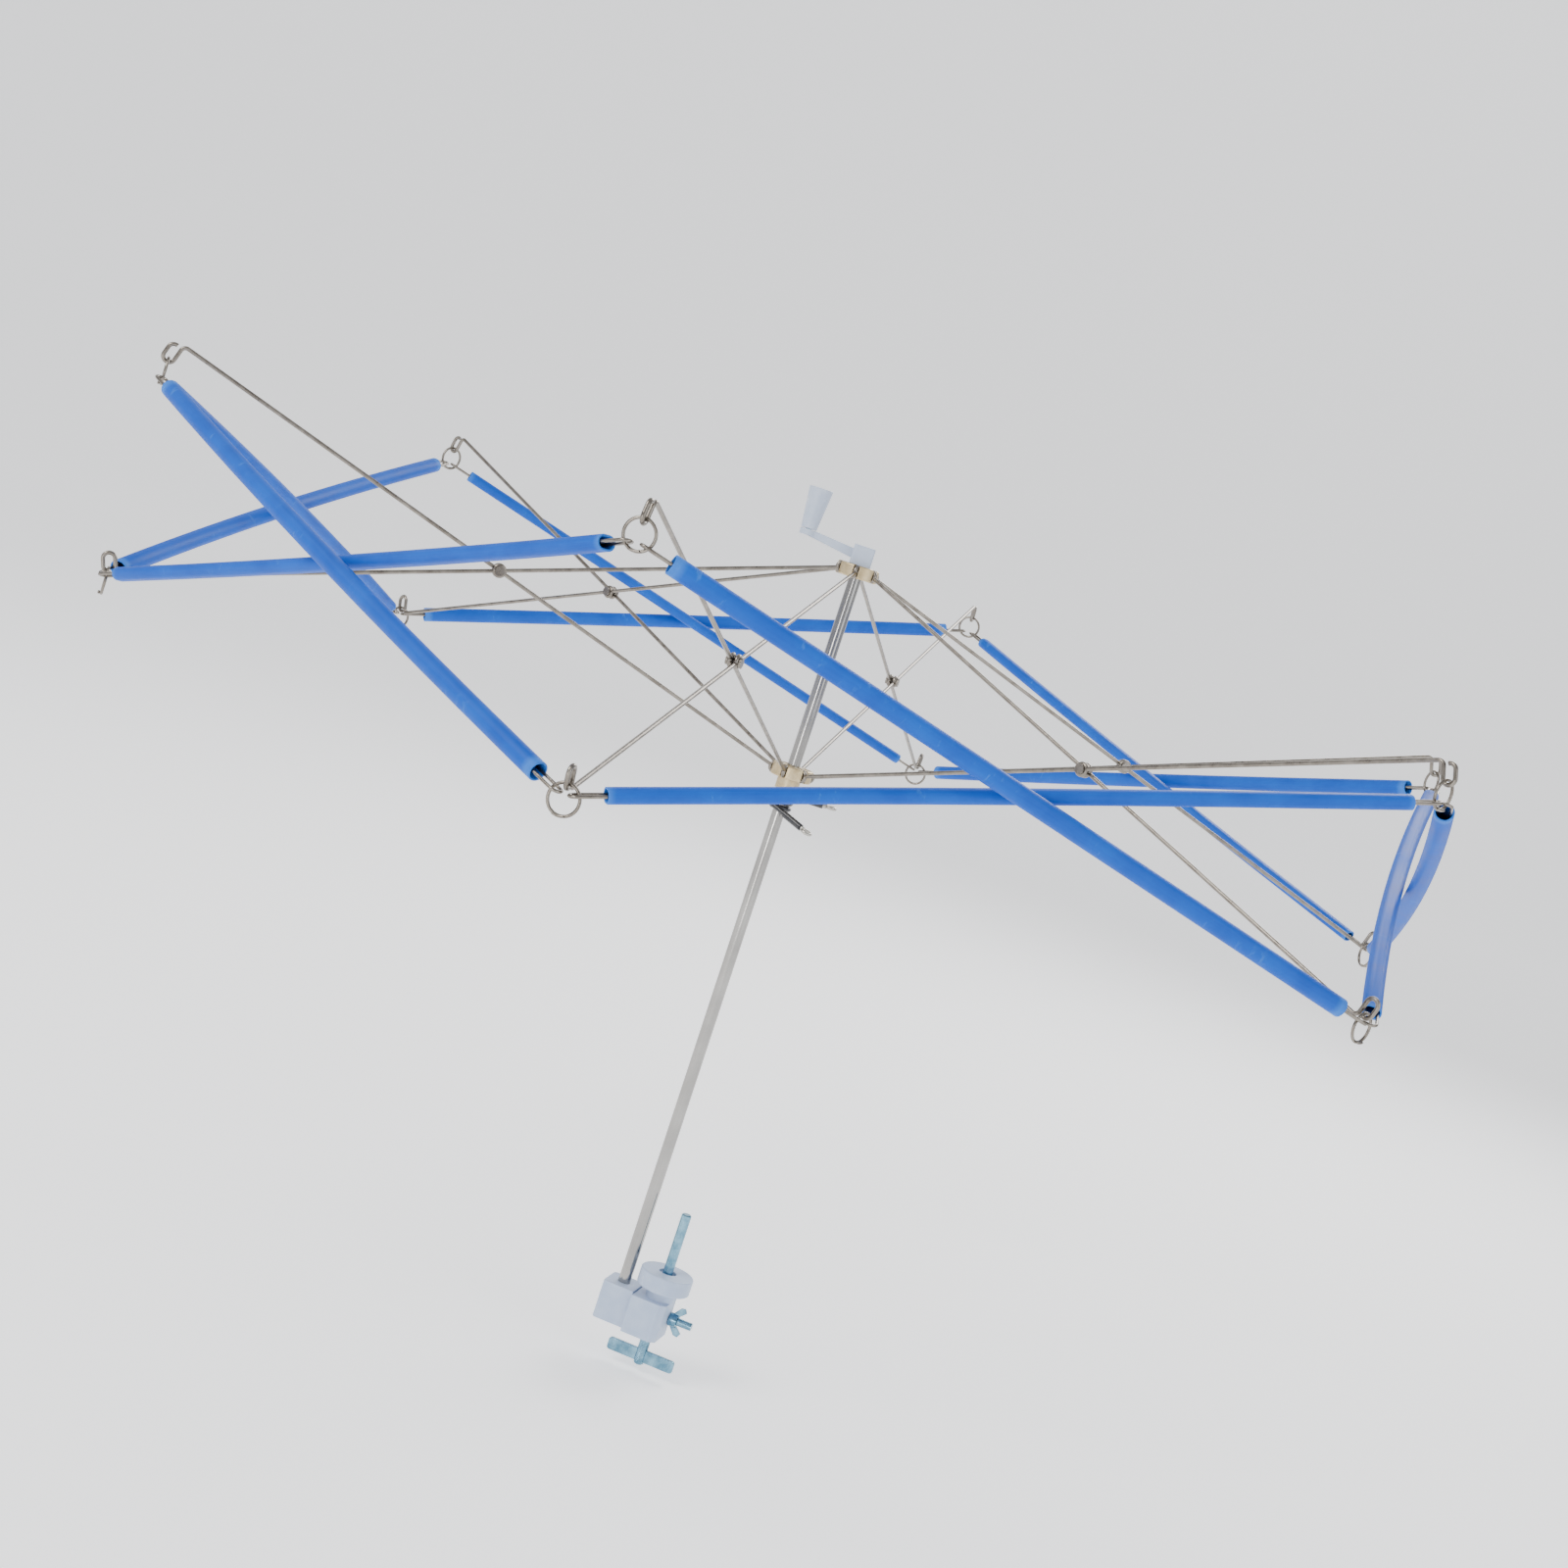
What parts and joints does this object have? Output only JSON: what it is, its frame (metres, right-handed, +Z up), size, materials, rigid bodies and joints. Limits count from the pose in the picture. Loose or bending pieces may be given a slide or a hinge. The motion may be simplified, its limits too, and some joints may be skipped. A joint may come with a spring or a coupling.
{
  "type": "umbrella yarn swift",
  "caption": "Folding umbrella swift with crossed wire arms, sleeved rails, a hand crank and a table clamp, for winding yarn.",
  "frame": {"origin": "centre of the clamp disc's top face, on the axis of the clamp stud", "axes": "+Z up along the stud and parallel to the mast, +X from the mast to the stud, -Y towards the first pair of arms"},
  "size_m": [0.6248, 0.703, 0.4566],
  "materials": {
    "blue_sleeve": "satin",
    "wire_steel": "satin",
    "mast_steel": "polished",
    "hub_brass": "satin",
    "clamp_plastic": "satin",
    "crank_plastic": "satin",
    "zinc": "polished",
    "grip_black": "satin",
    "black_steel": "matte"
  },
  "bodies": {
    "clamp": {"clamp_body": "clamp_plastic", "clamp_disc": "clamp_plastic"},
    "clamp_screw": {"clamp_screw": "zinc", "screw_wing": "zinc"},
    "holder": {"shaft_holder": "clamp_plastic", "tilt_bolt": "zinc"},
    "wing_nut": {"wing_nut": "zinc"},
    "rotor": {"mast": "mast_steel", "upper_hub": "hub_brass", "upper_hinge_ring": "wire_steel", "crank_arm": "crank_plastic", "crank_set_screw": "black_steel", "knob_pin": "zinc"},
    "knob": {"crank_knob": "crank_plastic"},
    "runner": {"lower_hub": "hub_brass", "lower_hinge_ring": "wire_steel", "grip_spring": "grip_black"},
    "grip_handle": {"grip_handle": "grip_black"},
    "lower_arm_1": {"lower_arm_1": "wire_steel"},
    "upper_arm_1": {"upper_arm_1": "wire_steel"},
    "rail_ring_1": {"rail_ring_1": "wire_steel"},
    "rail_right_1": {"rail_wire_right_1": "wire_steel", "rail_sleeve_right_1": "blue_sleeve"},
    "rail_left_1": {"rail_wire_left_1": "wire_steel", "rail_sleeve_left_1": "blue_sleeve"},
    "lower_arm_2": {"lower_arm_2": "wire_steel"},
    "upper_arm_2": {"upper_arm_2": "wire_steel"},
    "rail_ring_2": {"rail_ring_2": "wire_steel"},
    "rail_right_2": {"rail_wire_right_2": "wire_steel", "rail_sleeve_right_2": "blue_sleeve"},
    "rail_left_2": {"rail_wire_left_2": "wire_steel", "rail_sleeve_left_2": "blue_sleeve"},
    "lower_arm_3": {"lower_arm_3": "wire_steel"},
    "upper_arm_3": {"upper_arm_3": "wire_steel"},
    "rail_ring_3": {"rail_ring_3": "wire_steel"},
    "rail_right_3": {"rail_wire_right_3": "wire_steel", "rail_sleeve_right_3": "blue_sleeve"},
    "rail_left_3": {"rail_wire_left_3": "wire_steel", "rail_sleeve_left_3": "blue_sleeve"},
    "lower_arm_4": {"lower_arm_4": "wire_steel"},
    "upper_arm_4": {"upper_arm_4": "wire_steel"},
    "rail_ring_4": {"rail_ring_4": "wire_steel"},
    "rail_right_4": {"rail_wire_right_4": "wire_steel", "rail_sleeve_right_4": "blue_sleeve"},
    "rail_left_4": {"rail_wire_left_4": "wire_steel", "rail_sleeve_left_4": "blue_sleeve"},
    "lower_arm_5": {"lower_arm_5": "wire_steel"},
    "upper_arm_5": {"upper_arm_5": "wire_steel"},
    "rail_ring_5": {"rail_ring_5": "wire_steel"},
    "rail_right_5": {"rail_wire_right_5": "wire_steel", "rail_sleeve_right_5": "blue_sleeve"},
    "rail_left_5": {"rail_wire_left_5": "wire_steel", "rail_sleeve_left_5": "blue_sleeve"},
    "lower_arm_6": {"lower_arm_6": "wire_steel"},
    "upper_arm_6": {"upper_arm_6": "wire_steel"},
    "rail_ring_6": {"rail_ring_6": "wire_steel"},
    "rail_right_6": {"rail_wire_right_6": "wire_steel", "rail_sleeve_right_6": "blue_sleeve"},
    "rail_left_6": {"rail_wire_left_6": "wire_steel", "rail_sleeve_left_6": "blue_sleeve"}
  },
  "joints": [
    {"name": "tilt", "type": "hinge", "parent": "clamp", "child": "holder", "pos_m": [-0.0205, 0.00595, -0.0244], "axis": [1, 0, 0], "range_deg": [-15, 90]},
    {"name": "wing_nut_turn", "type": "hinge", "parent": "holder", "child": "wing_nut", "pos_m": [0.0089, 0.00595, -0.0244], "axis": [1, 0, 0], "continuous": true},
    {"name": "clamp_screw_turn", "type": "hinge", "parent": "clamp", "child": "clamp_screw", "pos_m": [0, 0, -0.0244], "axis": [0, 0, 1], "continuous": true},
    {"name": "spin", "type": "hinge", "parent": "holder", "child": "rotor", "pos_m": [-0.0205, 0, -0.0214], "axis": [0, 0, 1], "continuous": true},
    {"name": "knob_spin", "type": "hinge", "parent": "rotor", "child": "knob", "pos_m": [-0.04973, -0.00675, 0.3844], "axis": [0, 0, 1], "continuous": true},
    {"name": "fold", "type": "hinge", "parent": "rotor", "child": "lower_arm_1", "pos_m": [-0.0191, -0.00889, 0.3716], "axis": [1, 0, 0], "range_deg": [-10, 44]},
    {"name": "scissor_1", "type": "hinge", "parent": "lower_arm_1", "child": "upper_arm_1", "pos_m": [-0.0205, -0.17247, 0.31845], "axis": [1, 0, 0], "range_deg": [-88, 20]},
    {"name": "rail_ring_1_hang", "type": "hinge", "parent": "upper_arm_1", "child": "rail_ring_1", "pos_m": [-0.0219, -0.34772, 0.36724], "axis": [1, 0, 0], "range_deg": [-10, 44]},
    {"name": "rail_right_1_swing", "type": "hinge", "parent": "rail_ring_1", "child": "rail_right_1", "pos_m": [-0.01707, -0.34772, 0.35619], "axis": [-0.4982, 0.8669, 0.0154], "range_deg": [-10.32, 45.36]},
    {"name": "rail_left_1_swing", "type": "hinge", "parent": "rail_ring_1", "child": "rail_left_1", "pos_m": [-0.02673, -0.34772, 0.35619], "axis": [-0.4982, -0.8669, -0.0154], "range_deg": [-10.43, 45.88]},
    {"name": "lower_arm_2_swing", "type": "hinge", "parent": "rotor", "child": "lower_arm_2", "pos_m": [-0.0121, -0.00323, 0.3716], "axis": [0.5, 0.866, 0], "range_deg": [-10, 44]},
    {"name": "scissor_2", "type": "hinge", "parent": "lower_arm_2", "child": "upper_arm_2", "pos_m": [0.12887, -0.08624, 0.31845], "axis": [0.5, 0.866, 0], "range_deg": [-88, 20]},
    {"name": "rail_ring_2_hang", "type": "hinge", "parent": "upper_arm_2", "child": "rail_ring_2", "pos_m": [0.27994, -0.17507, 0.36724], "axis": [0.5, 0.866, 0], "range_deg": [-10, 44]},
    {"name": "rail_right_2_swing", "type": "hinge", "parent": "rail_ring_2", "child": "rail_right_2", "pos_m": [0.28235, -0.17089, 0.35619], "axis": [-0.9999, 0.002, 0.0154], "range_deg": [-10.32, 45.36]},
    {"name": "rail_left_2_swing", "type": "hinge", "parent": "rail_ring_2", "child": "rail_left_2", "pos_m": [0.27752, -0.17925, 0.35619], "axis": [0.5017, -0.8649, -0.0154], "range_deg": [-10.43, 45.88]},
    {"name": "lower_arm_3_swing", "type": "hinge", "parent": "rotor", "child": "lower_arm_3", "pos_m": [-0.0135, 0.00566, 0.3716], "axis": [-0.5, 0.866, 0], "range_deg": [-10, 44]},
    {"name": "scissor_3", "type": "hinge", "parent": "lower_arm_3", "child": "upper_arm_3", "pos_m": [0.12887, 0.08624, 0.31845], "axis": [-0.5, 0.866, 0], "range_deg": [-88, 20]},
    {"name": "rail_ring_3_hang", "type": "hinge", "parent": "upper_arm_3", "child": "rail_ring_3", "pos_m": [0.28134, 0.17265, 0.36724], "axis": [-0.5, 0.866, 0], "range_deg": [-10, 44]},
    {"name": "rail_right_3_swing", "type": "hinge", "parent": "rail_ring_3", "child": "rail_right_3", "pos_m": [0.27892, 0.17683, 0.35619], "axis": [-0.5017, -0.8649, 0.0154], "range_deg": [-10.32, 45.36]},
    {"name": "rail_left_3_swing", "type": "hinge", "parent": "rail_ring_3", "child": "rail_left_3", "pos_m": [0.28375, 0.16847, 0.35619], "axis": [0.9999, 0.002, -0.0154], "range_deg": [-10.43, 45.88]},
    {"name": "lower_arm_4_swing", "type": "hinge", "parent": "rotor", "child": "lower_arm_4", "pos_m": [-0.0219, 0.00889, 0.3716], "axis": [-1, 0, 0], "range_deg": [-10, 44]},
    {"name": "scissor_4", "type": "hinge", "parent": "lower_arm_4", "child": "upper_arm_4", "pos_m": [-0.0205, 0.17247, 0.31845], "axis": [-1, 0, 0], "range_deg": [-88, 20]},
    {"name": "rail_ring_4_hang", "type": "hinge", "parent": "upper_arm_4", "child": "rail_ring_4", "pos_m": [-0.0191, 0.34772, 0.36724], "axis": [-1, 0, 0], "range_deg": [-10, 44]},
    {"name": "rail_right_4_swing", "type": "hinge", "parent": "rail_ring_4", "child": "rail_right_4", "pos_m": [-0.02393, 0.34772, 0.35619], "axis": [0.4982, -0.8669, 0.0154], "range_deg": [-10.32, 45.36]},
    {"name": "rail_left_4_swing", "type": "hinge", "parent": "rail_ring_4", "child": "rail_left_4", "pos_m": [-0.01427, 0.34772, 0.35619], "axis": [0.4982, 0.8669, -0.0154], "range_deg": [-10.43, 45.88]},
    {"name": "lower_arm_5_swing", "type": "hinge", "parent": "rotor", "child": "lower_arm_5", "pos_m": [-0.0289, 0.00323, 0.3716], "axis": [-0.5, -0.866, 0], "range_deg": [-10, 44]},
    {"name": "scissor_5", "type": "hinge", "parent": "lower_arm_5", "child": "upper_arm_5", "pos_m": [-0.16986, 0.08624, 0.31845], "axis": [-0.5, -0.866, 0], "range_deg": [-88, 20]},
    {"name": "rail_ring_5_hang", "type": "hinge", "parent": "upper_arm_5", "child": "rail_ring_5", "pos_m": [-0.32094, 0.17507, 0.36724], "axis": [-0.5, -0.866, 0], "range_deg": [-10, 44]},
    {"name": "rail_right_5_swing", "type": "hinge", "parent": "rail_ring_5", "child": "rail_right_5", "pos_m": [-0.32335, 0.17089, 0.35619], "axis": [0.9999, -0.002, 0.0154], "range_deg": [-10.32, 45.36]},
    {"name": "rail_left_5_swing", "type": "hinge", "parent": "rail_ring_5", "child": "rail_left_5", "pos_m": [-0.31852, 0.17925, 0.35619], "axis": [-0.5017, 0.8649, -0.0154], "range_deg": [-10.43, 45.88]},
    {"name": "lower_arm_6_swing", "type": "hinge", "parent": "rotor", "child": "lower_arm_6", "pos_m": [-0.0275, -0.00566, 0.3716], "axis": [0.5, -0.866, 0], "range_deg": [-10, 44]},
    {"name": "scissor_6", "type": "hinge", "parent": "lower_arm_6", "child": "upper_arm_6", "pos_m": [-0.16986, -0.08624, 0.31845], "axis": [0.5, -0.866, 0], "range_deg": [-88, 20]},
    {"name": "rail_ring_6_hang", "type": "hinge", "parent": "upper_arm_6", "child": "rail_ring_6", "pos_m": [-0.32234, -0.17265, 0.36724], "axis": [0.5, -0.866, 0], "range_deg": [-10, 44]},
    {"name": "rail_right_6_swing", "type": "hinge", "parent": "rail_ring_6", "child": "rail_right_6", "pos_m": [-0.31992, -0.17683, 0.35619], "axis": [0.5017, 0.8649, 0.0154], "range_deg": [-10.32, 45.36]},
    {"name": "rail_left_6_swing", "type": "hinge", "parent": "rail_ring_6", "child": "rail_left_6", "pos_m": [-0.32475, -0.16847, 0.35619], "axis": [-0.9999, -0.002, -0.0154], "range_deg": [-10.43, 45.88]},
    {"name": "runner_swing", "type": "hinge", "parent": "upper_arm_1", "child": "runner", "pos_m": [-0.0219, -0.00889, 0.2653], "axis": [1, 0, 0], "range_deg": [-10, 44]},
    {"name": "grip_squeeze", "type": "hinge", "parent": "runner", "child": "grip_handle", "pos_m": [-0.0205, 0, 0.24665], "axis": [0, 0, 1], "range_deg": [0, 25], "stiffness_Nm_per_rad": 0.05}
  ],
  "couplings": [
    {"joint": "scissor_1", "follows": "fold", "ratio": -2},
    {"joint": "rail_ring_1_hang", "follows": "fold", "ratio": 1},
    {"joint": "rail_right_1_swing", "follows": "fold", "ratio": 1.0307},
    {"joint": "rail_left_1_swing", "follows": "fold", "ratio": 1.0424},
    {"joint": "lower_arm_2_swing", "follows": "fold", "ratio": 1},
    {"joint": "scissor_2", "follows": "fold", "ratio": -2},
    {"joint": "rail_ring_2_hang", "follows": "fold", "ratio": 1},
    {"joint": "rail_right_2_swing", "follows": "fold", "ratio": 1.0307},
    {"joint": "rail_left_2_swing", "follows": "fold", "ratio": 1.0424},
    {"joint": "lower_arm_3_swing", "follows": "fold", "ratio": 1},
    {"joint": "scissor_3", "follows": "fold", "ratio": -2},
    {"joint": "rail_ring_3_hang", "follows": "fold", "ratio": 1},
    {"joint": "rail_right_3_swing", "follows": "fold", "ratio": 1.0307},
    {"joint": "rail_left_3_swing", "follows": "fold", "ratio": 1.0424},
    {"joint": "lower_arm_4_swing", "follows": "fold", "ratio": 1},
    {"joint": "scissor_4", "follows": "fold", "ratio": -2},
    {"joint": "rail_ring_4_hang", "follows": "fold", "ratio": 1},
    {"joint": "rail_right_4_swing", "follows": "fold", "ratio": 1.0307},
    {"joint": "rail_left_4_swing", "follows": "fold", "ratio": 1.0424},
    {"joint": "lower_arm_5_swing", "follows": "fold", "ratio": 1},
    {"joint": "scissor_5", "follows": "fold", "ratio": -2},
    {"joint": "rail_ring_5_hang", "follows": "fold", "ratio": 1},
    {"joint": "rail_right_5_swing", "follows": "fold", "ratio": 1.0307},
    {"joint": "rail_left_5_swing", "follows": "fold", "ratio": 1.0424},
    {"joint": "lower_arm_6_swing", "follows": "fold", "ratio": 1},
    {"joint": "scissor_6", "follows": "fold", "ratio": -2},
    {"joint": "rail_ring_6_hang", "follows": "fold", "ratio": 1},
    {"joint": "rail_right_6_swing", "follows": "fold", "ratio": 1.0307},
    {"joint": "rail_left_6_swing", "follows": "fold", "ratio": 1.0424},
    {"joint": "runner_swing", "follows": "fold", "ratio": 1}
  ]
}
